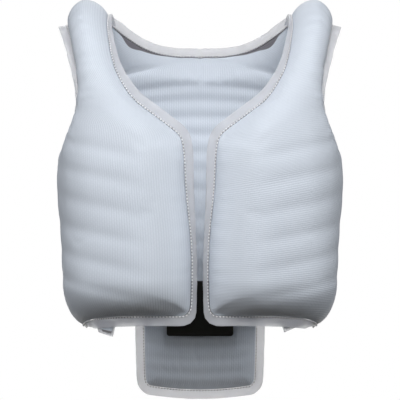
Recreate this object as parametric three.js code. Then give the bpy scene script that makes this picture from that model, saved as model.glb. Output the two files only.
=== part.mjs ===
// An inflated airbag vest, built from its real pieces: two front chambers and a back chamber that wrap
// the torso and meet at the side and shoulder seams, a tail pad below the back, flat welded flanges along
// every free edge, a black box inside the lower back and two small hem tabs.
// Millimetres, +Z up. The front faces -Y and +X is the wearer's left.
// The origin is the middle of the shoulder rest.
import * as THREE from "three";
import { mergeVertices } from "three/addons/utils/BufferGeometryUtils.js";

// The shell: the middle surface of the walls, where the two sheets of each chamber are welded together.
const UNDERARM_Z = -150; // height of the underarm line
const ARCH_RISE = 180; // from the underarm line up to the shoulder ridge
const RIDGE_CLIMB = (ARCH_RISE * Math.PI) / 2; // climb of the ridge, see shellPoint
const SQUARENESS = 2.6; // 2 makes the torso's sections ellipses, more makes them squarer
const SHOULDER_SLOPE = 0.24; // fall of the shoulder ridge towards the arm
const STRAP_X = 165; // middle of a shoulder strap

// Sections of the shell by their climb, from below the tail up to the ridge.
const SECTIONS = [
  { climb: -420, halfWidth: 156, halfDepth: 136 },
  { climb: -274, halfWidth: 174, halfDepth: 141 },
  { climb: -222, halfWidth: 172.5, halfDepth: 144 },
  { climb: -150, halfWidth: 177, halfDepth: 148 },
  { climb: -66, halfWidth: 185, halfDepth: 150 },
  { climb: 0, halfWidth: 185.5, halfDepth: 150 },
  { climb: 60, halfWidth: 199, halfDepth: 150 },
  { climb: 120, halfWidth: 210, halfDepth: 150 },
  { climb: RIDGE_CLIMB, halfWidth: 217, halfDepth: 150 },
];

// Half thickness of an inflated wall, outwards and inwards from the shell.
const PUFF_OUT = 29;
const PUFF_IN = 22;
const RIM = 1.6; // two welded sheets at a seam
const SEAM_GAP = 0.3; // each panel stops this far short of a seam that joins it to the next

// How a wall thins towards each kind of edge: over this width, to this share, with this roundness.
const OPENING_EDGE = { width: 58, share: 0, power: 0.75 };
const NECK_EDGE = { width: 34, share: 0, power: 0.6 };
const ARM_EDGE = { width: 33, share: 0, power: 0.55 };
const FRONT_HEM_EDGE = { width: 58, share: 0, power: 0.62 };
const BACK_HEM_EDGE = { width: 52, share: 0, power: 0.55 };
const JOINED_EDGE = { width: 24, share: 0.76, power: 0.6 };

// Front panel, a row for each section from the hem to the shoulder seam. Each row runs from the opening
// or neck edge to the side or armhole edge; no outX means the side seam. Behind marks points past the
// shoulder ridge.
// Bend is how late along the row its height changes, 1 for evenly.
const FRONT_ROWS = [
  { inX: 26, inZ: -404, outZ: -427, bend: 2.2 },
  { inX: 20.5, inZ: -402.6, outZ: -424, bend: 2.2 },
  { inX: 16.8, inZ: -399.5, outZ: -419.5, bend: 2.2 },
  { inX: 14.7, inZ: -395, outZ: -413, bend: 2.2 },
  { inX: 13.7, inZ: -389, outZ: -404, bend: 2.2 },
  { inX: 13, inZ: -378, outZ: -382, bend: 2 },
  { inX: 12.5, inZ: -332, outZ: -302 },
  { inX: 14, inZ: -296, outZ: -256 },
  { inX: 19.8, inZ: -238, outZ: -186 },
  { inX: 21.6, inZ: -214, outZ: -160, underarm: true },
  { inX: 22.4, inZ: -199, outX: 184.8, outZ: -158.5 },
  { inX: 23.2, inZ: -184, outX: 183.4, outZ: -154 },
  { inX: 24.4, inZ: -170, outX: 180.8, outZ: -145 },
  { inX: 26.5, inZ: -157, outX: 178.5, outZ: -132 },
  { inX: 31, inZ: -148, outX: 174.5, outZ: -118, neckCorner: true },
  { inX: 44, inZ: -137, outX: 171.5, outZ: -104 },
  { inX: 69, inZ: -118, outX: 170.5, outZ: -90 },
  { inX: 95, inZ: -97, outX: 171.5, outZ: -74 },
  { inX: 113, inZ: -71, outX: 175, outZ: -52 },
  { inX: 124, inZ: -47, outX: 180, outZ: -33 },
  { inX: 132, inZ: -13, outX: 187, outZ: -6 },
  { inX: 136.5, inZ: 16, outX: 193.5, outZ: 13 },
  { inX: 138, inZ: 36.5, outX: 198, outZ: 22 },
  { inX: 136, inZ: 25, outX: 195, outZ: 12.5, behind: true, shoulder: true },
];

// Half of the back panel, from the hem to the shoulder seam, in the same columns. Rows below the neck
// start on the centre line; the rows after the neck row follow the back neckline.
const BACK_ROWS = [
  { inX: 0, inZ: -418, outZ: -427, bend: 2 },
  { inX: 0, inZ: -412, outZ: -419.5, bend: 2 },
  { inX: 0, inZ: -402, outZ: -407, bend: 2 },
  { inX: 0, inZ: -388, outZ: -388, ribsFrom: true },
  { inX: 0, inZ: -290, outZ: -283, bend: 2 },
  { inX: 0, inZ: -220, outZ: -204, bend: 2 },
  { inX: 0, inZ: -164, outZ: -160, bend: 2, underarm: true },
  { inX: 0, inZ: -150, outX: 184.8, outZ: -158.5, bend: 2 },
  { inX: 0, inZ: -136, outX: 183.4, outZ: -154, bend: 2 },
  { inX: 0, inZ: -122, outX: 180.8, outZ: -145, bend: 2 },
  { inX: 0, inZ: -108, outX: 178.5, outZ: -132, bend: 2 },
  { inX: 0, inZ: -80, outX: 172.5, outZ: -110, bend: 2.3 },
  { inX: 0, inZ: -52, outX: 170.3, outZ: -95, bend: 2.4 },
  { inX: 0, inZ: -34, outX: 170.3, outZ: -89, bend: 2.4 },
  { inX: 0, inZ: -18, outX: 170.8, outZ: -82, bend: 2.4, neckBottom: true },
  { inX: 34, inZ: -17, outX: 172, outZ: -72, bend: 2.2 },
  { inX: 64, inZ: -13, outX: 174.5, outZ: -56, bend: 2 },
  { inX: 88, inZ: -5, outX: 178.3, outZ: -39, bend: 1.6 },
  { inX: 108, inZ: 6, outX: 183.5, outZ: -20, bend: 1.3 },
  { inX: 125, inZ: 17, outX: 189, outZ: -2 },
  { inX: 136, inZ: 25, outX: 195, outZ: 12.5, shoulder: true },
];
const ROW_STEP = 14; // target distance between the rows of a panel's mesh
const FRONT_COLUMNS = 10;
const BACK_COLUMNS = 10; // for each half

// The front panels are fuller towards their hem: this much more, by height
// and by distance from the centre plane.
const BELLY = [
  { z: -430, out: 22 },
  { z: -340, out: 22 },
  { z: -260, out: 18.5 },
  { z: -195, out: 16 },
  { z: -150, out: 9.5 },
  { z: -95, out: 0 },
  { z: 60, out: 0 },
];
const BELLY_SPREAD = [
  { x: 0, share: 0.5 },
  { x: 45, share: 0.7 },
  { x: 85, share: 1 },
  { x: 130, share: 1 },
  { x: 160, share: 0.5 },
  { x: 180, share: 0 },
  { x: 230, share: 0 },
];

// The straps are a little fuller over the shoulders.
const SHOULDER_FULLNESS = [
  { z: -430, out: 0 },
  { z: -50, out: 0 },
  { z: 10, out: 3 },
  { z: 60, out: 4 },
];

// Folds in the front panels: shallow valleys that start at the side and fade towards the opening.
const FOLD = { first: -341, pitch: 39, count: 6, fall: 0.28, depth: 1.4, halfWidth: 10 };
const FOLD_ORIGIN_X = 200;
// How strong the folds are, by distance from the centre plane.
const FOLD_STRENGTH = [
  { x: 0, share: 0 },
  { x: 70, share: 0 },
  { x: 115, share: 1 },
  { x: 155, share: 1 },
  { x: 190, share: 0.35 },
  { x: 230, share: 0.35 },
];
const RIB_DEPTH = 1.4; // valleys across the back panel, on both faces, at every second row of its mesh
// How strong the ribs are, by distance from the centre plane.
const RIB_STRENGTH = [
  { x: 0, share: 1 },
  { x: 125, share: 1 },
  { x: 170, share: 0.15 },
  { x: 230, share: 0.15 },
];

// Flat flanges beyond the seams.
const FLANGE = { width: 14.5, thickness: 1.2, gap: 0.4 };
// How far the flange of the front opening turns in towards the body, by height.
const OPENING_TUCK = [
  { z: -404, degrees: 0 },
  { z: -402, degrees: 12 },
  { z: -395, degrees: 48 },
  { z: -388, degrees: 60 },
  { z: -366, degrees: 64 },
  { z: -340, degrees: 66 },
  { z: -300, degrees: 58 },
  { z: -235, degrees: 36 },
  { z: -165, degrees: 14 },
  { z: -140, degrees: 0 },
  { z: 60, degrees: 0 },
];

// How far the flange of the hem turns in, by distance from the centre plane.
const BACK_NECK_TUCK = [
  { x: 0, degrees: -46 },
  { x: 64, degrees: -46 },
  { x: 108, degrees: -50 },
  { x: 124, degrees: -48 },
  { x: 131, degrees: -38 },
  { x: 136, degrees: -22 },
];
const HEM_TUCK = [
  { x: 0, degrees: 0 },
  { x: 150, degrees: 0 },
  { x: 166, degrees: 28 },
  { x: 174, degrees: 50 },
  { x: 230, degrees: 50 },
];

// Tail pad, a row for each section from the hem down: half width, height at its ends and how far its
// middle hangs lower.
const TAIL_ROWS = [
  { halfX: 88.5, endZ: -420.5, sag: -1 },
  { halfX: 88.3, endZ: -431, sag: 0 },
  { halfX: 88, endZ: -446, sag: 1 },
  { halfX: 87.6, endZ: -464, sag: 2 },
  { halfX: 87, endZ: -482, sag: 3 },
  { halfX: 86.5, endZ: -500, sag: 4 },
  { halfX: 86, endZ: -515, sag: 5.5 },
  { halfX: 84.5, endZ: -526, sag: 7 },
  { halfX: 79, endZ: -532.5, sag: 7.5 },
];
const TAIL_COLUMNS = 14;
const TAIL_PUFF_OUT = 8;
const TAIL_PUFF_IN = 11;
const TAIL_EDGE = { width: 24, share: 0, power: 0.6 };
const TAIL_TOP_EDGE = { width: 14, share: 0.35, power: 0.6 };
const TAIL_FLANGE_TOP_Z = -424;

// The black box against the inside of the back, and the hem tabs behind the front flanges.
const BOX = { width: 104, height: 85, depth: 24, topZ: -367, backY: 118.9, corner: 3, bevel: 1.5 };
const TAB = { topZ: -413.5, topWidth: 34, bottomWidth: 22, border: 3.5, standOff: 4, columns: 6, rows: 6 };
const TAB_PUFF_OUT = 1.2;
const TAB_PUFF_IN = 4;
const RIGHT_TAB = { x: 138.5, length: 19, skew: 2.5 };
const LEFT_TAB = { x: 134, length: 12, skew: 4 };

const COLOURS = { chamber: 0xc9d3df, flange: 0xcfd1d8, box: 0x1a1814 };

// Smooth value of one column of a table at a place along another, with no overshoot between rows.
function between(table, along, column, at) {
  const last = table.length - 1;
  const key = (i) => table[i][along];
  const value = (i) => table[i][column];
  const rising = key(last) > key(0) ? 1 : -1;
  let i = 0;
  while (i < last - 1 && (at - key(i + 1)) * rising > 0) i += 1;
  const slope = (j) => (value(j + 1) - value(j)) / (key(j + 1) - key(j));
  const tangent = (j) => {
    if (j === 0) return slope(0);
    if (j === last) return slope(last - 1);
    const product = slope(j - 1) * slope(j);
    return product <= 0 ? 0 : (2 * product) / (slope(j - 1) + slope(j));
  };
  const run = key(i + 1) - key(i);
  const t = THREE.MathUtils.clamp((at - key(i)) / run, 0, 1);
  const s = t * t * (3 - 2 * t);
  const bend = run * t * (1 - t);
  return value(i) * (1 - s) + value(i + 1) * s + bend * ((1 - t) * tangent(i) - t * tangent(i + 1));
}

function signedPower(value, power) {
  return Math.sign(value) * Math.abs(value) ** power;
}

// A point of the shell on the wearer's left. Angle runs round the torso in radians, 0 at the front centre
// line and pi at the back one. Climb is the height over the underarm line, which goes on over the shoulder
// past the ridge.
function shellPoint(angle, climb) {
  const level = Math.min(climb, 2 * RIDGE_CLIMB - climb);
  const lean = Math.max(level, 0) / ARCH_RISE;
  const power = 2 / SQUARENESS;
  const side = climb > RIDGE_CLIMB ? 1 : -1;
  const x = between(SECTIONS, "climb", "halfWidth", level) * signedPower(Math.sin(angle), power);
  const depth = between(SECTIONS, "climb", "halfDepth", level) * Math.cos(lean);
  const y = side * depth * signedPower(Math.cos(angle), power);
  const rise = level > 0 ? ARCH_RISE * Math.sin(lean) : level;
  const fall = SHOULDER_SLOPE * (Math.abs(x) - STRAP_X) * Math.sin(lean) ** 2;
  return new THREE.Vector3(x, y, UNDERARM_Z + rise - fall);
}

// The shell's outward normal at a point given by angle and climb.
function shellNormal(angle, climb) {
  const turn = 0.002;
  const step = 0.5;
  const across = shellPoint(angle + turn, climb).sub(shellPoint(angle - turn, climb));
  const up = shellPoint(angle, climb + step).sub(shellPoint(angle, climb - step));
  return across.cross(up).normalize();
}

// Climb of the shell point at this distance from the centre plane and this height, in front of the ridge.
function climbAt(x, z) {
  let low = -500;
  let high = RIDGE_CLIMB;
  for (let i = 0; i < 50; i += 1) {
    const middle = (low + high) / 2;
    const lean = Math.max(middle, 0) / ARCH_RISE;
    const rise = middle > 0 ? ARCH_RISE * Math.sin(lean) : middle;
    const height = UNDERARM_Z + rise - SHOULDER_SLOPE * (x - STRAP_X) * Math.sin(lean) ** 2;
    if (height < z) low = middle;
    else high = middle;
  }
  return (low + high) / 2;
}

// Angle and climb of a point of the shell given by x and z. No x means the side seam.
function shellPlace(x, z, back, behind) {
  const sideX = x ?? between(SECTIONS, "climb", "halfWidth", z - UNDERARM_Z);
  const level = climbAt(sideX, z);
  const share = Math.min(1, sideX / between(SECTIONS, "climb", "halfWidth", level));
  const angle = Math.asin(share ** (SQUARENESS / 2));
  return { angle: back ? Math.PI - angle : angle, climb: behind ? 2 * RIDGE_CLIMB - level : level };
}

// Rows of a panel's mesh: each table row's two ends as angle and climb, with rows added between them.
function panelRows(table, back) {
  const rows = table.map((row) => ({
    ...row,
    start: shellPlace(row.inX, row.inZ, back, row.behind),
    end: shellPlace(row.outX, row.outZ, back, row.behind),
  }));
  let along = 0;
  const keyed = rows.map((row, i) => {
    if (i > 0) {
      const before = rows[i - 1];
      const inner = shellPoint(row.start.angle, row.start.climb);
      const outer = shellPoint(row.end.angle, row.end.climb);
      const innerStep = inner.distanceTo(shellPoint(before.start.angle, before.start.climb));
      along += (innerStep + outer.distanceTo(shellPoint(before.end.angle, before.end.climb))) / 2;
    }
    const { start, end } = row;
    return {
      ...row,
      startAngle: start.angle,
      startClimb: start.climb,
      endAngle: end.angle,
      endClimb: end.climb,
      bend: row.bend ?? 1,
      along,
    };
  });
  const columns = ["startAngle", "startClimb", "endAngle", "endClimb", "bend"];
  const made = [keyed[0]];
  for (let i = 1; i < keyed.length; i += 1) {
    const count = Math.max(1, Math.round((keyed[i].along - keyed[i - 1].along) / ROW_STEP));
    for (let k = 1; k < count; k += 1) {
      const at = THREE.MathUtils.lerp(keyed[i - 1].along, keyed[i].along, k / count);
      made.push(Object.fromEntries(columns.map((name) => [name, between(keyed, "along", name, at)])));
    }
    made.push(keyed[i]);
  }
  return made;
}

// Mesh points of a panel on the shell, closer together near the two ends of each row.
function panelGrid(rows, columns) {
  const samples = 80;
  return rows.map((row) => {
    const places = [];
    for (let k = 0; k <= samples; k += 1) {
      const t = k / samples;
      const angle = THREE.MathUtils.lerp(row.startAngle, row.endAngle, t);
      places.push({ angle, climb: THREE.MathUtils.lerp(row.startClimb, row.endClimb, t ** row.bend) });
    }
    const lengths = [0];
    const points = places.map((place) => shellPoint(place.angle, place.climb));
    for (let k = 1; k <= samples; k += 1) lengths.push(lengths[k - 1] + points[k].distanceTo(points[k - 1]));
    return Array.from({ length: columns + 1 }, (_, j) => {
      const share = (1 - Math.cos((Math.PI * j) / columns)) / 2;
      const wanted = lengths[samples] * (0.5 * share + (0.5 * j) / columns);
      let k = 1;
      while (k < samples && lengths[k] < wanted) k += 1;
      const t = THREE.MathUtils.clamp((wanted - lengths[k - 1]) / (lengths[k] - lengths[k - 1]), 0, 1);
      const angle = THREE.MathUtils.lerp(places[k - 1].angle, places[k].angle, t);
      const climb = THREE.MathUtils.lerp(places[k - 1].climb, places[k].climb, t);
      return { point: shellPoint(angle, climb), normal: shellNormal(angle, climb) };
    });
  });
}

// Distance from a point to a line of points.
function distanceToLine(point, line) {
  const nearest = new THREE.Vector3();
  let best = Infinity;
  for (let i = 1; i < line.length; i += 1) {
    new THREE.Line3(line[i - 1], line[i]).closestPointToPoint(point, true, nearest);
    best = Math.min(best, nearest.distanceTo(point));
  }
  return best;
}

// Share of the full thickness that is left at a point, from its distance to each edge.
function fullness(point, edges) {
  return edges.reduce((product, { line, kind }) => {
    const t = Math.min(1, distanceToLine(point, line) / kind.width);
    return product * (kind.share + (1 - kind.share) * (1 - (1 - t) ** 2) ** kind.power);
  }, 1);
}

// Depth of the front folds at a point.
function foldDepth(point) {
  const level = point.z + FOLD.fall * (FOLD_ORIGIN_X - Math.abs(point.x));
  const nearest = THREE.MathUtils.clamp(Math.round((level - FOLD.first) / FOLD.pitch), 0, FOLD.count - 1);
  const off = (level - FOLD.first - nearest * FOLD.pitch) / FOLD.halfWidth;
  return FOLD.depth * Math.exp(-off * off) * between(FOLD_STRENGTH, "x", "share", Math.abs(point.x));
}

function shoulderFullness(point) {
  return between(SHOULDER_FULLNESS, "z", "out", point.z);
}

// How far the outer sheet of a front panel stays short of its even fullness,
// less than nothing where it is fuller.
function frontDent(point) {
  const away = Math.abs(point.x);
  const belly = between(BELLY, "z", "out", point.z) * between(BELLY_SPREAD, "x", "share", away);
  return foldDepth(point) - belly - shoulderFullness(point);
}

// Offsets of the two sheets at each mesh point: an outer and an inner point.
function inflate(grid, edges, puffOut, puffIn, dentOut, dentIn) {
  return grid.map((row, i) =>
    row.map(({ point, normal }) => {
      const share = fullness(point, edges);
      const out = Math.max(RIM / 2, (puffOut - dentOut(point, i)) * share);
      const inward = Math.max(RIM / 2, (puffIn - dentIn(point, i)) * share);
      return {
        outer: point.clone().addScaledVector(normal, out),
        inner: point.clone().addScaledVector(normal, -inward),
      };
    }),
  );
}

// Collects triangles and turns them into one indexed geometry.
class TriangleList {
  constructor() {
    this.positions = [];
  }
  quad(a, b, c, d) {
    for (const corner of [a, b, c, a, c, d]) this.positions.push(corner.x, corner.y, corner.z);
  }
  geometry() {
    const made = new THREE.BufferGeometry();
    made.setAttribute("position", new THREE.Float32BufferAttribute(this.positions, 3));
    const merged = mergeVertices(made, 1e-3);
    merged.computeVertexNormals();
    return merged;
  }
}

// Adds both sheets of an inflated grid and a rim along the sides that are named. Flip turns the faces round.
function addCushion(list, sheets, rims, flip) {
  const quad = flip ? (a, b, c, d) => list.quad(d, c, b, a) : (a, b, c, d) => list.quad(a, b, c, d);
  const lastRow = sheets.length - 1;
  const lastColumn = sheets[0].length - 1;
  for (let i = 0; i < lastRow; i += 1) {
    for (let j = 0; j < lastColumn; j += 1) {
      const corners = [sheets[i][j], sheets[i][j + 1], sheets[i + 1][j + 1], sheets[i + 1][j]];
      quad(...corners.map((corner) => corner.outer));
      quad(...corners.map((corner) => corner.inner).reverse());
    }
  }
  const wall = (a, b) => quad(a.inner, b.inner, b.outer, a.outer);
  for (let j = 0; j < lastColumn; j += 1) {
    wall(sheets[0][j], sheets[0][j + 1]);
    wall(sheets[lastRow][j + 1], sheets[lastRow][j]);
  }
  for (let i = 0; i < lastRow; i += 1) {
    if (i >= rims.startFromRow) wall(sheets[i + 1][0], sheets[i][0]);
    wall(sheets[i][lastColumn], sheets[i + 1][lastColumn]);
  }
}

function mirrored(sheets) {
  const flipX = (v) => new THREE.Vector3(-v.x, v.y, v.z);
  return sheets.map((row) => row.map(({ outer, inner }) => ({ outer: flipX(outer), inner: flipX(inner) })));
}

// A flange: a flat strip along a path of seam points. Each path point has its place, the shell's normal
// there, a point inside the panel that the strip leaves from, and how far the strip turns in. Its two ends
// lie straight away from their inside points, so that strips which meet at a seam don't cross.
function flangeGeometry(path) {
  const sections = path.map(({ point, normal, inside, tuck = 0 }, i) => {
    const away = point.clone().sub(inside).projectOnPlane(normal).normalize();
    const atEnd = i === 0 || i === path.length - 1;
    const out = atEnd ? away : path[i + 1].point.clone().sub(path[i - 1].point).cross(normal).normalize();
    if (out.dot(away) < 0) out.negate();
    const turn = THREE.MathUtils.degToRad(tuck);
    const reach = out.clone().multiplyScalar(Math.cos(turn)).addScaledVector(normal, -Math.sin(turn));
    const face = normal.clone().multiplyScalar(Math.cos(turn)).addScaledVector(out, Math.sin(turn));
    const half = FLANGE.thickness / 2;
    const root = point.clone().addScaledVector(out, FLANGE.gap + half * Math.abs(Math.sin(turn)));
    const corner = (distance, side) =>
      root.clone().addScaledVector(reach, distance).addScaledVector(face, side * half);
    const far = FLANGE.width - FLANGE.gap;
    return [corner(0, 1), corner(far, 1), corner(far, -1), corner(0, -1)];
  });
  const list = new TriangleList();
  for (let i = 1; i < sections.length; i += 1) {
    for (let k = 0; k < 4; k += 1) {
      const next = (k + 1) % 4;
      list.quad(sections[i - 1][k], sections[i][k], sections[i][next], sections[i - 1][next]);
    }
  }
  const end = sections[sections.length - 1];
  list.quad(...sections[0]);
  list.quad(end[3], end[2], end[1], end[0]);
  return outwards(list.geometry());
}

// Turns a closed geometry's faces to point out.
function outwards(geometry) {
  const p = geometry.attributes.position;
  const corner = (i) => new THREE.Vector3().fromBufferAttribute(p, geometry.index.getX(i));
  let volume = 0;
  for (let i = 0; i < geometry.index.count; i += 3) {
    volume += corner(i).dot(corner(i + 1).cross(corner(i + 2)));
  }
  if (volume < 0) {
    for (let i = 0; i < geometry.index.count; i += 3) {
      const kept = geometry.index.getX(i);
      geometry.index.setX(i, geometry.index.getX(i + 1));
      geometry.index.setX(i + 1, kept);
    }
    geometry.computeVertexNormals();
  }
  return geometry;
}

// A copy of a geometry on the wearer's other side.
function otherSide(geometry) {
  return outwards(geometry.clone().applyMatrix4(new THREE.Matrix4().makeScale(-1, 1, 1)));
}

// Path points along one side of a panel's grid, for a flange that leaves it.
function pathAlong(cells, insides) {
  return cells.map(({ point, normal }, i) => ({ point, normal, inside: insides[i].point }));
}

const column = (grid, j) => grid.map((row) => row[j]);
const points = (cells) => cells.map((cell) => cell.point);

// Moves the joined edges of a panel back from its seams by the seam gap.
function stopShort(rows, back) {
  const turn = (SEAM_GAP / between(SECTIONS, "climb", "halfDepth", 0)) ** (SQUARENESS / 2);
  for (const row of rows) {
    if (Math.abs(row.endAngle - Math.PI / 2) < 1e-3) row.endAngle += back ? turn : -turn;
  }
  const last = rows[rows.length - 1];
  last.startClimb -= SEAM_GAP;
  last.endClimb -= SEAM_GAP;
}

const noDent = () => 0;
const hemTuck = (point) => between(HEM_TUCK, "x", "degrees", point.x);

// One front panel on the wearer's left: its chamber and its two flanges.
function frontPanel() {
  const rows = panelRows(FRONT_ROWS, false);
  stopShort(rows, false);
  const grid = panelGrid(rows, FRONT_COLUMNS);
  const underarm = rows.findIndex((row) => row.underarm);
  const neck = rows.findIndex((row) => row.neckCorner);
  const inner = points(column(grid, 0));
  const outer = points(column(grid, FRONT_COLUMNS));
  const edges = [
    { line: inner.slice(0, neck + 1), kind: OPENING_EDGE },
    { line: inner.slice(neck), kind: NECK_EDGE },
    { line: outer.slice(underarm), kind: ARM_EDGE },
    { line: outer.slice(0, underarm + 1), kind: JOINED_EDGE },
    { line: points(grid[0]), kind: FRONT_HEM_EDGE },
    { line: points(grid[grid.length - 1]), kind: JOINED_EDGE },
  ];
  const sheets = inflate(grid, edges, PUFF_OUT, PUFF_IN, frontDent, noDent);
  const hem = pathAlong(grid[0], grid[1]).reverse();
  hem.pop();
  const corner = { ...grid[0][0], inside: grid[1][1].point };
  const rising = pathAlong(column(grid, 0), column(grid, 1)).slice(1);
  const front = [...hem, corner, ...rising].map((place, i) => {
    if (i <= hem.length) return { ...place, tuck: hemTuck(place.point) };
    return { ...place, tuck: between(OPENING_TUCK, "z", "degrees", place.point.z) };
  });
  const arm = pathAlong(column(grid, FRONT_COLUMNS), column(grid, FRONT_COLUMNS - 1)).slice(underarm);
  arm[0].inside = outer[underarm - 1];
  return { sheets, front, arm };
}

// The back panel's half on the wearer's left: its sheets, where its neckline starts and its flange paths.
function backHalf() {
  const rows = panelRows(BACK_ROWS, true);
  stopShort(rows, true);
  const grid = panelGrid(rows, BACK_COLUMNS);
  const underarm = rows.findIndex((row) => row.underarm);
  const neckBottom = rows.findIndex((row) => row.neckBottom);
  for (const row of grid.slice(0, neckBottom + 1)) row[0].point.x = 0;
  const outer = points(column(grid, BACK_COLUMNS));
  const neckline = points(column(grid, 0)).slice(neckBottom);
  const across = (line) => [...line.map((v) => new THREE.Vector3(-v.x, v.y, v.z)).reverse(), ...line];
  const edges = [
    { line: across(neckline), kind: NECK_EDGE },
    { line: outer.slice(underarm), kind: ARM_EDGE },
    { line: outer.slice(0, underarm + 1), kind: JOINED_EDGE },
    { line: across(points(grid[0])), kind: BACK_HEM_EDGE },
    { line: points(grid[grid.length - 1]), kind: JOINED_EDGE },
  ];
  const ribsFrom = rows.findIndex((row) => row.ribsFrom);
  const ribDepth = (point, i) => {
    const valley = i > ribsFrom && i < neckBottom && (i - ribsFrom) % 2 === 0;
    return valley ? RIB_DEPTH * between(RIB_STRENGTH, "x", "share", point.x) : 0;
  };
  const outerDent = (point, i) => ribDepth(point, i) - shoulderFullness(point);
  const sheets = inflate(grid, edges, PUFF_OUT, PUFF_IN, outerDent, ribDepth);
  for (const row of sheets.slice(0, neckBottom + 1)) {
    row[0].outer.x = 0;
    row[0].inner.x = 0;
  }
  const neck = pathAlong(column(grid, 0), column(grid, 1)).slice(neckBottom);
  const arm = pathAlong(column(grid, BACK_COLUMNS), column(grid, BACK_COLUMNS - 1)).slice(underarm);
  arm[0].inside = outer[underarm - 1];
  const hem = pathAlong(grid[0], grid[1])
    .filter(({ point }) => point.x > TAIL_ROWS[0].halfX + FLANGE.width + 1)
    .map((place) => ({ ...place, tuck: hemTuck(place.point) }));
  return { sheets, neckBottom, neck, arm, hem };
}

// The neck flange of the back runs from one shoulder seam round the neckline to the other.
function backNeckGeometry(neck) {
  const flip = (v) => new THREE.Vector3(-v.x, v.y, v.z);
  const bottom = { ...neck[0], inside: neck[0].point.clone().setZ(neck[0].point.z - ROW_STEP) };
  const left = neck.slice(1);
  const right = left.map(({ point, normal, inside }) => ({
    point: flip(point),
    normal: flip(normal),
    inside: flip(inside),
  }));
  const path = [...right.reverse(), bottom, ...left];
  const tuck = (point) => between(BACK_NECK_TUCK, "x", "degrees", Math.abs(point.x));
  return flangeGeometry(path.map((place) => ({ ...place, tuck: tuck(place.point) })));
}

// The tail pad on the back of the shell, and its flange round the sides and the bottom.
function tail() {
  const grid = TAIL_ROWS.map(({ halfX, endZ, sag }) =>
    Array.from({ length: TAIL_COLUMNS + 1 }, (_, j) => {
      const across = -Math.cos((Math.PI * j) / TAIL_COLUMNS);
      const spread = 0.5 * across + 0.5 * ((2 * j) / TAIL_COLUMNS - 1);
      const x = spread * halfX;
      const { angle, climb } = shellPlace(Math.abs(x), endZ - sag * (1 - spread * spread), true);
      const flip = new THREE.Vector3(x < 0 ? -1 : 1, 1, 1);
      const point = shellPoint(angle, climb).multiply(flip);
      const normal = shellNormal(angle, climb).multiply(flip);
      return { point, normal };
    }),
  );
  const bottomRow = grid[grid.length - 1];
  const sideLine = (j) => points(column(grid, j));
  const edges = [
    { line: [...sideLine(0), ...points(bottomRow), ...sideLine(TAIL_COLUMNS).reverse()], kind: TAIL_EDGE },
    { line: points(grid[0]), kind: TAIL_TOP_EDGE },
  ];
  const sheets = inflate(grid, edges, TAIL_PUFF_OUT, TAIL_PUFF_IN, noDent, noDent);
  const list = new TriangleList();
  addCushion(list, sheets, { startFromRow: 0 }, false);
  const below = (cells) => cells.filter(({ point }) => point.z < TAIL_FLANGE_TOP_Z);
  const right = pathAlong(below(column(grid, 0)), below(column(grid, 1)));
  const left = pathAlong(below(column(grid, TAIL_COLUMNS)), below(column(grid, TAIL_COLUMNS - 1))).reverse();
  const bottom = pathAlong(bottomRow, grid[grid.length - 2]).slice(1, -1);
  return { pad: outwards(list.geometry()), flange: flangeGeometry([...right, ...bottom, ...left]) };
}

// The box: a plain block with rounded corners and bevelled faces.
function boxGeometry() {
  const { width, height, depth, corner, bevel } = BOX;
  const halfX = width / 2 - bevel;
  const halfZ = height / 2 - bevel;
  const outline = new THREE.Shape();
  outline.moveTo(halfX - corner, -halfZ);
  outline.absarc(halfX - corner, -halfZ + corner, corner, -Math.PI / 2, 0);
  outline.absarc(halfX - corner, halfZ - corner, corner, 0, Math.PI / 2);
  outline.absarc(-halfX + corner, halfZ - corner, corner, Math.PI / 2, Math.PI);
  outline.absarc(-halfX + corner, -halfZ + corner, corner, Math.PI, 1.5 * Math.PI);
  outline.closePath();
  return new THREE.ExtrudeGeometry(outline, {
    depth: depth - 2 * bevel,
    bevelEnabled: true,
    bevelThickness: bevel,
    bevelSize: bevel,
    bevelSegments: 2,
    curveSegments: 4,
  });
}

// A hem tab on the wearer's left: a small pad with a flat border that narrows downwards and hangs askew.
function tabGeometry({ x, length, skew }) {
  const grid = Array.from({ length: TAB.rows + 1 }, (_, i) => {
    const down = i / TAB.rows;
    const halfWidth = THREE.MathUtils.lerp(TAB.topWidth, TAB.bottomWidth, down) / 2;
    return Array.from({ length: TAB.columns + 1 }, (_, j) => {
      const aside = (2 * j) / TAB.columns - 1;
      const drop = down * (length - skew * aside);
      const { angle, climb } = shellPlace(x + aside * halfWidth, TAB.topZ - drop, false);
      const normal = shellNormal(angle, climb);
      return { point: shellPoint(angle, climb).addScaledVector(normal, -TAB.standOff), normal };
    });
  });
  const rim = [
    ...grid[0],
    ...column(grid, TAB.columns),
    ...[...grid[TAB.rows]].reverse(),
    ...column(grid, 0).reverse(),
  ];
  const line = points(rim);
  const sheets = grid.map((row) =>
    row.map(({ point, normal }) => {
      const inside = Math.max(0, distanceToLine(point, line) - TAB.border);
      const share = Math.min(1, inside / TAB.border) ** 0.5;
      return {
        outer: point.clone().addScaledVector(normal, RIM / 2 + TAB_PUFF_OUT * share),
        inner: point.clone().addScaledVector(normal, -RIM / 2 - TAB_PUFF_IN * share),
      };
    }),
  );
  const list = new TriangleList();
  addCushion(list, sheets, { startFromRow: 0 }, false);
  return outwards(list.geometry());
}

const MATERIALS = {
  chamber: new THREE.MeshStandardMaterial({ color: COLOURS.chamber, roughness: 0.6, metalness: 0 }),
  flange: new THREE.MeshStandardMaterial({
    color: COLOURS.flange,
    roughness: 0.45,
    metalness: 0,
    transparent: true,
    opacity: 0.85,
    side: THREE.DoubleSide,
  }),
  box: new THREE.MeshStandardMaterial({ color: COLOURS.box, roughness: 0.7, metalness: 0 }),
};

const vest = new THREE.Group();

function addPiece(name, geometry, material) {
  const mesh = new THREE.Mesh(geometry, material);
  mesh.name = name;
  vest.add(mesh);
  return mesh;
}

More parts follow.
